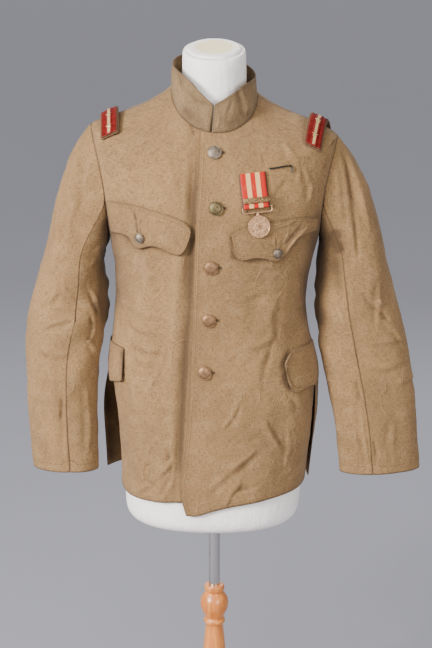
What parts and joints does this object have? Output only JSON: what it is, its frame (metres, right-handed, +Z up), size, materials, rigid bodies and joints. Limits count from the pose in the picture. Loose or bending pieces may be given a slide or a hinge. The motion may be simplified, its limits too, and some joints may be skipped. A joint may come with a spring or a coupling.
{
  "type": "officer jacket on dress form",
  "caption": "Hip-length officer's jacket with a stand collar, long sleeves, flapped pockets, shoulder boards and a medal, on a limbless dress form with a turned stand.",
  "frame": {"origin": "middle of the underside of the round base, where the stand rests on the floor", "axes": "+Z up, the front of the jacket faces -Y, the wearer's left is +X"},
  "size_m": [0.6481, 0.32, 1.2545],
  "materials": {
    "jacket_cloth": "plain woven cotton, faded and creased",
    "button_silver": "worn grey plating",
    "button_bronze": "dark, tarnished",
    "button_copper": "worn, copper-coloured",
    "board_backing": "dark brown felt",
    "board_felt": "red wool felt with pale edges",
    "board_lace": "cream and gold woven lace",
    "board_star": "gilt",
    "medal_ribbon": "striped silk",
    "medal_brass": "pale bronze, worn",
    "pin_black": "black, satin",
    "form_white": "matt white coating over a light hard foam",
    "form_cream": "cream disc, satin",
    "pole_chrome": "polished",
    "stand_beech": "turned beech, varnished"
  },
  "bodies": {
    "stand": {"stand_base": "stand_beech", "stand_post": "stand_beech"},
    "pole": {"stand_pole": "pole_chrome"},
    "form": {"back": "jacket_cloth", "front_left": "jacket_cloth", "front_right": "jacket_cloth", "collar": "jacket_cloth", "sleeve_left_top": "jacket_cloth", "sleeve_left_under": "jacket_cloth", "sleeve_right_top": "jacket_cloth", "sleeve_right_under": "jacket_cloth", "flap_breast_left": "jacket_cloth", "flap_breast_right": "jacket_cloth", "flap_hip_left": "jacket_cloth", "flap_hip_right": "jacket_cloth", "button_front_1": "button_silver", "button_front_2": "button_bronze", "button_front_3": "button_copper", "button_front_4": "button_copper", "button_front_5": "button_copper", "button_pocket_left": "button_bronze", "button_pocket_right": "button_bronze", "board_left_backing": "board_backing", "board_left_felt": "board_felt", "board_left_lace": "board_lace", "star_left_1": "board_star", "star_left_2": "board_star", "board_right_backing": "board_backing", "board_right_felt": "board_felt", "board_right_lace": "board_lace", "star_right_1": "board_star", "star_right_2": "board_star", "medal_ribbon": "medal_ribbon", "medal_clasp": "medal_brass", "ribbon_pin": "pin_black", "form_torso": "form_white", "form_neck_cap": "form_cream"},
    "medal": {"medal_disc": "medal_brass"}
  },
  "joints": [
    {"name": "form_height", "type": "slide", "parent": "stand", "child": "pole", "axis": [0, 0, 1], "range_m": [-0.09, 0.08]},
    {"name": "form_turn", "type": "hinge", "parent": "pole", "child": "form", "pos_m": [0, 0, 0.5], "axis": [0, 0, 1], "continuous": true},
    {"name": "medal_swing", "type": "hinge", "parent": "form", "child": "medal", "pos_m": [0.06509, -0.11382, 1.01069], "axis": [-0.9826, -0.1649, -0.0849], "range_deg": [0, 70]}
  ]
}
